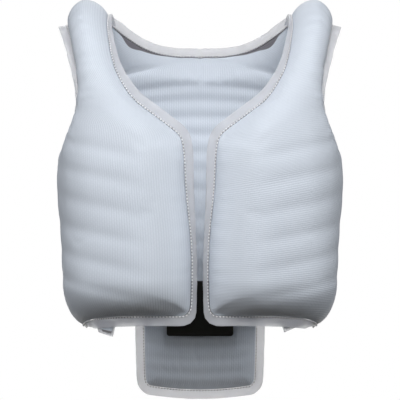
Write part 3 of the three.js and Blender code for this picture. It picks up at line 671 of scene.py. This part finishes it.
def mark_neck_shade(mesh, seam):
    """Stores how far each point of the back's inner sheet is inside the painted shade below the neck seam.
    """
    point = np.empty(len(mesh.vertices) * 3)
    normal = np.empty(len(mesh.vertices) * 3)
    mesh.vertices.foreach_get("co", point)
    mesh.vertices.foreach_get("normal", normal)
    x = np.abs(point[0::3]) / MM
    z = point[2::3] / MM
    inner = normal[1::3] < 0
    edge = np.interp(x, seam[:, 0], seam[:, 2]) - curve(NECK_SHADE_DEPTH, x)
    inside = np.where(inner, np.clip(NECK_SHADE_EDGE + z - edge, 0, 2 * NECK_SHADE_EDGE), 0)
    mesh.attributes.new("neck_shade", "FLOAT", "POINT").data.foreach_set("value", inside)


class SeamPath:
    """Seam points with the shell's normals, the way out of the panel, and a flange's turn and width."""

    def __init__(self, point, normal, inside, tuck=0.0, taper=1.0):
        self.point = np.array(point)
        self.width = np.broadcast_to(FLANGE["width"] * np.asarray(taper), len(point))
        self.normal = np.array(normal)
        away = self.point - inside
        away -= self.normal * np.einsum("ij,ij->i", away, self.normal)[:, None]
        away = unit(away)
        tangent = np.gradient(self.point, axis=0)
        out = unit(np.cross(tangent, self.normal))
        out *= np.where(np.einsum("ij,ij->i", out, away) < 0, -1, 1)[:, None]
        out[0] = away[0]
        out[-1] = away[-1]
        for _ in range(2):
            out[1:-1] = unit(out[:-2] + 2 * out[1:-1] + out[2:])
        turn = np.radians(np.broadcast_to(tuck, len(point)))[:, None]
        self.out = out
        self.root = self.point + out * (FLANGE["gap"] + FLANGE["thickness"] / 2 * np.abs(np.sin(turn)))
        self.reach = out * np.cos(turn) - self.normal * np.sin(turn)
        self.face = self.normal * np.cos(turn) + out * np.sin(turn)
        run = np.linalg.norm(np.diff(self.point, axis=0), axis=1)
        self.along = np.concatenate([[0], np.cumsum(run)])

    def mirrored(self):
        other = object.__new__(SeamPath)
        other.along = self.along
        other.width = self.width
        for name in ("point", "normal", "out", "root", "reach", "face"):
            setattr(other, name, flip_x(getattr(self, name)))
        return other


def sample_line(line, along, at):
    """Points of a line at places along it."""
    return np.stack([np.interp(at, along, line[:, k]) for k in range(3)], -1)


def front_paths(panel):
    point = np.concatenate([panel.point[0, ::-1], panel.point[1:, 0]])
    normal = np.concatenate([panel.normal[0, ::-1], panel.normal[1:, 0]])
    inside = np.concatenate([panel.point[1, ::-1], panel.point[1:, 1]])
    corner = panel.point.shape[1] - 1
    inside[corner] = panel.point[1, 1]
    hem = np.arange(len(point)) <= corner
    x = point[:, 0]
    z = point[:, 2]
    tuck = np.where(hem, curve(HEM_TUCK, x), curve(OPENING_TUCK, z))
    taper = np.where(hem, curve(HEM_TAPER, x), curve(OPENING_TAPER, z))
    return SeamPath(point, normal, inside, tuck, taper), arm_path(panel)


def arm_path(panel):
    underarm = panel.marks["underarm"]
    inside = panel.point[underarm:, -2].copy()
    inside[0] = panel.point[underarm - 1, -1]
    return SeamPath(panel.point[underarm:, -1], panel.normal[underarm:, -1], inside)


def back_neck_path(panel):
    neck = panel.marks["neck"]
    point = panel.point[neck:, 0]
    normal = panel.normal[neck:, 0]
    inside = panel.point[neck:, 1].copy()
    inside[0] = point[0] - np.array([0, 0, BACK_GRID["row_step"]])
    join = lambda line: np.concatenate([flip_x(line)[::-1], line[1:]])
    x = np.abs(join(point)[:, 0])
    tuck = curve(BACK_NECK_TUCK, x)
    taper = curve(BACK_NECK_TAPER, x)
    return SeamPath(join(point), join(normal), join(inside), tuck, taper)


def back_hem_path(panel):
    along = panel.point[0, :, 0]
    start = TAIL_ROWS[0]["half_x"] + FLANGE["width"] + 1
    x = np.concatenate([[start], along[along > start + 1]])
    lines = (panel.point[0], panel.normal[0], panel.point[1])
    tuck = curve(HEM_TUCK, x)
    taper = curve(HEM_TAPER, x)
    return SeamPath(*(sample_line(line, along, x) for line in lines), tuck, taper)


def flange_strip(name, path, material):
    """A thin strip of welded film along a seam, with a faint ripple towards its free edge."""
    share = np.linspace(0, 1, FLANGE["columns"] + 1)
    far = path.width[:, None] - FLANGE["gap"]
    ripple = np.sin(2 * math.pi * path.along / RIPPLE["pitch"] + np.sin(path.along / RIPPLE["drift"]))
    ends = np.minimum(1, np.minimum(path.along, path.along[-1] - path.along) / RIPPLE["fade"])
    lift = RIPPLE["height"] * (ripple * ends)[:, None] * share[None, :] ** 2
    middle = path.root[:, None] + path.reach[:, None] * (share * far)[..., None]
    middle = middle + path.face[:, None] * lift[..., None]
    half = path.face[:, None] * FLANGE["thickness"] / 2
    points = np.concatenate([(middle + half).reshape(-1, 3), (middle - half).reshape(-1, 3)])
    top = np.arange(len(points) // 2).reshape(middle.shape[:2])
    quads = closed_quads(top, top + top.size)
    along = np.broadcast_to(path.along[:, None], top.shape)
    uv = np.stack([share * far, along], -1).reshape(-1, 2)
    return make_object(name, points, quads, np.concatenate([uv, uv]), material)


def stitch_row(name, paths, size, material):
    """Small stitches or needle holes along the seams, on both faces of the flanges."""
    rings = np.array([[-0.5, 0], [-0.36, 0.8], [0.0, 1.0], [0.36, 0.8], [0.5, 0]])
    turns = np.linspace(0, 2 * math.pi, 6, endpoint=False)
    shape = [
        [x * size["length"], r * math.cos(a) * size["width"] / 2, r * math.sin(a) * size["height"] / 2]
        for x, r in rings
        for a in turns
    ]
    shape = np.array(shape)
    index = np.arange(len(shape)).reshape(len(rings), len(turns))
    index = np.concatenate([index, index[:, :1]], axis=1)
    faces = grid_quads(index)
    points = []
    quads = []
    count = 0
    for path in paths:
        number = int(path.along[-1] // STITCH["pitch"])
        at = (np.arange(number) + size["shift"]) * path.along[-1] / number
        sample = lambda line: sample_line(line, path.along, at)
        reach = unit(sample(path.out) + sample(path.reach) * STITCH["lean"])
        face = unit(sample(path.normal) + sample(path.face) * STITCH["lean"])
        tangent = unit(np.cross(reach, face))
        centre = sample(path.point) + reach * STITCH["inset"]
        for side in (1, -1):
            middle = centre + face * side * STITCH["lift"]
            made = (
                middle[:, None]
                + tangent[:, None] * shape[None, :, 0:1]
                + reach[:, None] * shape[None, :, 1:2]
                + face[:, None] * shape[None, :, 2:3]
            )
            points.append(made.reshape(-1, 3))
            numbers = count + np.arange(number)[:, None, None] * len(shape) + faces[None]
            quads.append(numbers.reshape(-1, 4))
            count += number * len(shape)
    points = np.concatenate(points)
    return make_object(name, points, np.concatenate(quads), points[:, [0, 2]], material, smooth_angle=80)


def tail_panel():
    rows = np.linspace(0, 1, TAIL_GRID["rows"] + 1)
    keyed = [dict(row, share=i / (len(TAIL_ROWS) - 1)) for i, row in enumerate(TAIL_ROWS)]
    half_x = between(keyed, "share", "half_x", rows)[:, None]
    end_z = between(keyed, "share", "end_z", rows)[:, None]
    sag = between(keyed, "share", "sag", rows)[:, None]
    even = np.linspace(0, 1, TAIL_GRID["columns"] + 1)
    spread = (CROWDING * -np.cos(math.pi * even) + (1 - CROWDING) * (2 * even - 1))[None, :]
    x = half_x * spread
    z = end_z - sag * (1 - spread**2)
    angle, climb = shell_place(np.abs(x), z, True)
    mirror = np.stack([np.where(x < 0, -1, 1), np.ones_like(x), np.ones_like(x)], -1)
    panel = object.__new__(Panel)
    panel.point = shell_point(angle, climb) * mirror
    panel.normal = shell_normal(angle, climb) * mirror
    panel.down_rows = -end_z[:, 0]
    point = panel.point
    rim = np.concatenate([point[:, 0], point[-1, 1:], point[::-1, -1][1:]])
    flat = point.reshape(-1, 3)
    bowed = flat[:, 2] - TAIL_RIB["bow"] * (flat[:, 0] / TAIL_RIB["reach"]) ** 2
    valley = (1 + np.cos(2 * math.pi * (bowed - TAIL_RIB["valley_z"]) / TAIL_RIB["pitch"])) / 2
    dent = TAIL_RIB["depth"] * valley
    edges = [(rim, TAIL_EDGE), (point[0], TAIL_TOP_EDGE)]
    return panel, inflated(panel, edges, TAIL_PUFF_OUT, TAIL_PUFF_IN, dent, dent)


def tail_path(panel):
    point = panel.point
    keep = point[:, 0, 2] < TAIL_FLANGE_TOP_Z
    join = lambda grid, inset: np.concatenate([
        grid[keep][:, inset],
        grid[-1 - inset, 1:-1],
        grid[keep][::-1, -1 - inset],
    ])
    normal = panel.normal
    return SeamPath(join(point, 0), join(normal, 0), join(point, 1))


def tab_panel(x, length, skew):
    down = np.linspace(0, 1, TAB["rows"] + 1)[:, None]
    aside = np.linspace(-1, 1, TAB["columns"] + 1)[None, :]
    half_width = (TAB["top_width"] + (TAB["bottom_width"] - TAB["top_width"]) * down) / 2
    x = x + aside * half_width
    z = TAB["top_z"] - down * (length - skew * aside)
    angle, climb = shell_place(x, z, False)
    panel = object.__new__(Panel)
    panel.normal = shell_normal(angle, climb)
    panel.point = shell_point(angle, climb) - panel.normal * TAB["stand_off"]
    panel.down_rows = down[:, 0] * length
    point = panel.point
    rim = np.concatenate([point[0], point[1:, -1], point[-1, ::-1][1:], point[::-1, 0][1:]])
    distance, _ = line_distance(point.reshape(-1, 3), rim)
    share = np.minimum(1, np.maximum(0, distance - TAB["border"]) / TAB["border"]) ** 0.5
    share = share.reshape(point.shape[:2])[..., None]
    outer = point + panel.normal * (RIM / 2 + TAB_PUFF_OUT * share)
    inner = point - panel.normal * (RIM / 2 + TAB_PUFF_IN * share)
    points = np.concatenate([outer.reshape(-1, 3), inner.reshape(-1, 3)])
    return panel, (points, np.zeros_like(points))


def paint_tab(mesh, length):
    """Gives a tab its fabric middle, and a band of painted shade across it, inside the film border."""
    mesh.materials.append(CHAMBER)
    mesh.materials.append(DARK_THREAD_AND_SHADE)
    uv = np.empty(len(mesh.loops) * 2)
    mesh.uv_layers[0].data.foreach_get("uv", uv)
    across, along = uv.reshape(-1, 4, 2).mean(1).T / MM
    width = TAB["top_width"] + (TAB["bottom_width"] - TAB["top_width"]) * along / length
    border = TAB["border"]
    inside = (across > border) & (across < width - border) & (along < length - border)
    shade_band = inside & (along > TAB_SHADE_BAND["start"] * length) & (along < TAB_SHADE_BAND["end"] * length)
    mesh.polygons.foreach_set("material_index", inside.astype(int) + shade_band.astype(int))


class Nodes:
    """A short way to add and link shader nodes."""

    def __init__(self, tree):
        self.tree = tree
        tree.nodes.clear()

    def add(self, kind, settings=None, **inputs):
        """Adds a node, with inputs by name or, as i0, i1 and so on, by number."""
        node = self.tree.nodes.new(kind)
        for name, value in (settings or {}).items():
            setattr(node, name, value)
        for name, value in inputs.items():
            numbered = name[0] == "i" and name[1:].isdigit()
            socket = node.inputs[int(name[1:]) if numbered else name]
            if isinstance(value, bpy.types.NodeSocket):
                self.tree.links.new(value, socket)
            else:
                socket.default_value = value
        return node

    def math(self, operation, first, second=0.0):
        return self.add("ShaderNodeMath", dict(operation=operation), i0=first, i1=second).outputs[0]

    def noise(self, place, scale, detail):
        return self.add("ShaderNodeTexNoise", Vector=place, Scale=scale, Detail=detail).outputs[0]

    def remap(self, value, low, high, first, last):
        return self.add("ShaderNodeMapRange", Value=value, i1=low, i2=high, i3=first, i4=last).outputs[0]

    def ramp(self, share, dark, light):
        node = self.add("ShaderNodeValToRGB", Fac=share)
        node.color_ramp.elements[0].color = (*dark, 1)
        node.color_ramp.elements[1].color = (*light, 1)
        return node.outputs[0]

    def bump(self, height, strength, distance):
        return self.add("ShaderNodeBump", Strength=strength, Distance=distance, Height=height).outputs[0]

    def place(self):
        return self.add("ShaderNodeTexCoord").outputs["Object"]

    def surface(self, inputs):
        shader = self.add("ShaderNodeBsdfPrincipled", **inputs)
        self.add("ShaderNodeOutputMaterial", Surface=shader.outputs[0])


def new_material(name):
    material = bpy.data.materials.new(name)
    material.use_nodes = True
    return material, Nodes(material.node_tree)


def weave_height(nodes, pitch):
    """Height of a plain weave: threads along and across that pass over and under each other."""
    place = nodes.add("ShaderNodeUVMap", dict(uv_map="UVMap")).outputs[0]
    parts = nodes.add("ShaderNodeSeparateXYZ", Vector=place)
    across = nodes.math("MULTIPLY", parts.outputs[0], math.pi / pitch)
    along = nodes.math("MULTIPLY", parts.outputs[1], math.pi / pitch)
    warp = nodes.math("ABSOLUTE", nodes.math("SINE", across))
    weft = nodes.math("ABSOLUTE", nodes.math("SINE", along))
    over = nodes.math("MULTIPLY", nodes.math("SINE", across), nodes.math("SINE", along))
    lift = nodes.math("MULTIPLY", over, 0.12)
    thread = nodes.math("ADD", warp, nodes.math("MULTIPLY", weft, 0.1))
    return nodes.math("ADD", thread, lift), place


def chamber_material():
    material, nodes = new_material("chamber_fabric")
    height, place = weave_height(nodes, WEAVE_PITCH)
    cloud = nodes.noise(place, 14.0, 3.0)
    thread = nodes.remap(height, 0.1, 1.1, 0.0, 1.0)
    tone = nodes.math("ADD", nodes.math("MULTIPLY", thread, 0.6), nodes.math("MULTIPLY", cloud, 0.4))
    fabric = nodes.ramp(tone, (0.56, 0.61, 0.69), (0.66, 0.715, 0.79))
    # Painted shade: the back's inner sheet below the neck seam is mixed towards a dark colour.
    stored_shade = nodes.add("ShaderNodeAttribute", dict(attribute_name="neck_shade")).outputs["Fac"]
    inside = nodes.remap(stored_shade, NECK_SHADE_EDGE - 0.5, NECK_SHADE_EDGE + 0.5, 0.0, 1.0)
    mixed = nodes.add("ShaderNodeMix", dict(data_type="RGBA"), i0=inside, i6=fabric, i7=NECK_SHADE_COLOUR)
    nodes.surface({
        "Base Color": mixed.outputs[2],
        "Roughness": nodes.remap(cloud, 0.3, 0.7, 0.56, 0.68),
        "Normal": nodes.bump(height, 0.35, 0.0006),
        "Specular IOR Level": 0.25,
        "Sheen Weight": 0.05,
    })
    return material


def flange_material():
    material, nodes = new_material("flange_film")
    height, place = weave_height(nodes, FILM_WEAVE_PITCH)
    cloud = nodes.noise(place, 30.0, 2.0)
    nodes.surface({
        "Base Color": nodes.ramp(cloud, (0.765, 0.785, 0.865), (0.825, 0.845, 0.925)),
        "Normal": nodes.bump(height, 0.12, 0.0003),
        "Subsurface Weight": 1.0,
        "Subsurface Radius": (1.0, 1.0, 1.0),
        "Subsurface Scale": 0.006,
        "Sheen Weight": 0.4,
        "Sheen Roughness": 0.5,
        "Roughness": 0.5,
        "Alpha": 0.56,
        "Specular IOR Level": 0.3,
    })
    return material


def thread_material(name, dark, light):
    material, nodes = new_material(name)
    twist = nodes.noise(nodes.place(), 900.0, 1.0)
    nodes.surface({"Base Color": nodes.ramp(twist, dark, light), "Roughness": 0.6})
    return material


def box_material():
    material, nodes = new_material("box_black")
    place = nodes.place()
    grain = nodes.noise(place, 900.0, 2.0)
    wear = nodes.noise(place, 25.0, 3.0)
    nodes.surface({
        "Base Color": nodes.ramp(wear, (0.010, 0.0095, 0.0075), (0.016, 0.015, 0.012)),
        "Roughness": nodes.remap(wear, 0.3, 0.7, 0.62, 0.74),
        "Normal": nodes.bump(grain, 0.25, 0.0002),
        "Specular IOR Level": 0.2,
    })
    return material


def floor_material():
    material, nodes = new_material("floor_pale")
    cloud = nodes.noise(nodes.place(), 3.0, 2.0)
    nodes.surface({
        "Base Color": nodes.ramp(cloud, (0.78, 0.68, 0.56), (0.82, 0.72, 0.6)),
        "Roughness": 0.9,
    })
    return material


CHAMBER = chamber_material()
FILM = flange_material()
THREAD = thread_material("stitch_thread", (0.8, 0.8, 0.82), (0.92, 0.92, 0.92))
# Dark thread on the tail seam; the same colour is painted shade on the tabs' band and a painted shadow
# below the back neck flange.
DARK_THREAD_AND_SHADE = thread_material("dark_thread_and_shade", (0.2, 0.2, 0.21), (0.3, 0.3, 0.32))
# Grey needle holes between the stitches: painted shade of the holes.
NEEDLE_HOLE_SHADE = thread_material("needle_hole_shade", (0.34, 0.34, 0.36), (0.46, 0.46, 0.49))


def settle(piece, slot, *nodes):
    """Puts a piece on the vest's one body, in place of these solids; its slot is not used."""
    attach(piece, "root")
    if nodes:
        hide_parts(*nodes)
    return piece


def padded(piece, fill, *nodes):
    settle(piece, "chamber_fabric", *nodes)


def film(name, path, node):
    piece = settle(flange_strip(name, path, FILM), "flange_film", node)


# The front panels, mirrored, with their flanges.
panel, sheets = front_panel()
front, front_arm = front_paths(panel)
seams = []
for side, mirror in (("left", False), ("right", True)):
    name = f"front_cushion_{side}"
    padded(cushion(name, panel, sheets, CHAMBER, mirror, not mirror), 0.95, f"front_chamber_{side}")
    edge = front.mirrored() if mirror else front
    arm = front_arm.mirrored() if mirror else front_arm
    film(f"front_edge_{side}", edge, f"front_flange_{side}")
    film(f"front_arm_edge_{side}", arm, f"front_armhole_flange_{side}")
    seams.extend([edge, arm])

# The back panel with its flanges.
panel, sheets = back_panel()
back = back_cushion("back_cushion", panel, sheets, CHAMBER)
mark_neck_shade(back.data, panel.point[panel.marks["neck"]:, 0])
padded(back, 0.95, "back_chamber")
neck = back_neck_path(panel)
film("back_neck_edge", neck, "back_neck_flange")
for side, mirror in (("left", False), ("right", True)):
    arm = arm_path(panel)
    hem = back_hem_path(panel)
    if mirror:
        arm = arm.mirrored()
        hem = hem.mirrored()
    film(f"back_arm_edge_{side}", arm, f"back_armhole_flange_{side}")
    film(f"back_hem_edge_{side}", hem, f"back_hem_flange_{side}")
    seams.extend([arm, hem])

# The tail pad with its flange, and the hem tabs.
panel, sheets = tail_panel()
padded(cushion("tail_cushion", panel, sheets, CHAMBER), 0.8, "tail_pad")
edge = tail_path(panel)
film("tail_edge", edge, "tail_flange")
for side, mirror in (("left", False), ("right", True)):
    panel, sheets = tab_panel(**TABS[side])
    tab = settle(cushion(f"tab_{side}", panel, sheets, FILM, mirror), "flange_film", f"hem_tab_{side}")
    paint_tab(tab.data, TABS[side]["length"])

settle(stitch_row("seam_stitches", seams, STITCH, THREAD), "flange_film")
# The grey needle holes between the stitches are painted shade.
settle(stitch_row("shaded_needle_holes", seams, NEEDLE_HOLE, NEEDLE_HOLE_SHADE), "flange_film")
# Dark thread along the tail seam; along the back neck these dark dashes are a painted shadow line below the
# flange.
settle(stitch_row("dark_thread_and_neck_shadow", [edge, neck], STITCH, DARK_THREAD_AND_SHADE), "flange_film")

box = frame["nodes"]["back_box"]
box.data.materials.clear()
box.data.materials.append(box_material())


def area_light(name, place, size, power, colour=(1.0, 1.0, 1.0)):
    data = bpy.data.lights.new(name, "AREA")
    data.shape = "RECTANGLE"
    data.size = size[0]
    data.size_y = size[1]
    data.energy = power
    data.color = colour
    made = bpy.data.objects.new(name, data)
    made.location = place
    aim = np.array(LIGHT_TARGET) - np.array(place)
    flat = math.hypot(aim[0], aim[1])
    made.rotation_euler = (math.atan2(flat, -aim[2]), 0, math.atan2(-aim[0], aim[1]))
    bpy.context.scene.collection.objects.link(made)


def world():
    made = bpy.data.worlds.new("studio")
    bpy.context.scene.world = made
    made.use_nodes = True
    nodes = Nodes(made.node_tree)
    direction = nodes.add("ShaderNodeTexCoord").outputs["Generated"]
    height = nodes.add("ShaderNodeSeparateXYZ", Vector=direction).outputs[2]
    share = nodes.remap(height, -1.0, 1.0, 0.0, 1.0)
    tint = nodes.ramp(share, (0.5, 0.47, 0.4), (0.9, 0.93, 1.0))
    studio = nodes.add("ShaderNodeBackground", Color=tint, Strength=0.02)
    white = nodes.add("ShaderNodeBackground", Color=(1, 1, 1, 1), Strength=1.0)
    seen = nodes.add("ShaderNodeLightPath").outputs["Is Camera Ray"]
    mixed = nodes.add("ShaderNodeMixShader", i0=seen, i1=studio.outputs[0], i2=white.outputs[0])
    nodes.add("ShaderNodeOutputWorld", Surface=mixed.outputs[0])


def floor():
    mesh = bpy.data.meshes.new("floor")
    turns = [2 * math.pi * k / FLOOR_CORNERS for k in range(FLOOR_CORNERS)]
    ring = [(FLOOR_RADIUS * math.cos(a), FLOOR_RADIUS * math.sin(a), FLOOR_Z) for a in turns]
    mesh.from_pydata(ring, [], [list(range(FLOOR_CORNERS))])
    mesh.materials.append(floor_material())
    made = bpy.data.objects.new("floor", mesh)
    bpy.context.scene.collection.objects.link(made)


def camera():
    data = bpy.data.cameras.new("camera")
    data.lens = CAMERA_LENS
    data.sensor_width = CAMERA_SENSOR
    made = bpy.data.objects.new("camera", data)
    made.location = (0, CAMERA_Y, CAMERA_Z)
    made.rotation_euler = (math.pi / 2, 0, 0)
    bpy.context.scene.collection.objects.link(made)
    bpy.context.scene.camera = made


for light in LIGHTS:
    area_light(**light)
world()
floor()
camera()
bpy.context.scene.view_settings.view_transform = "Standard"
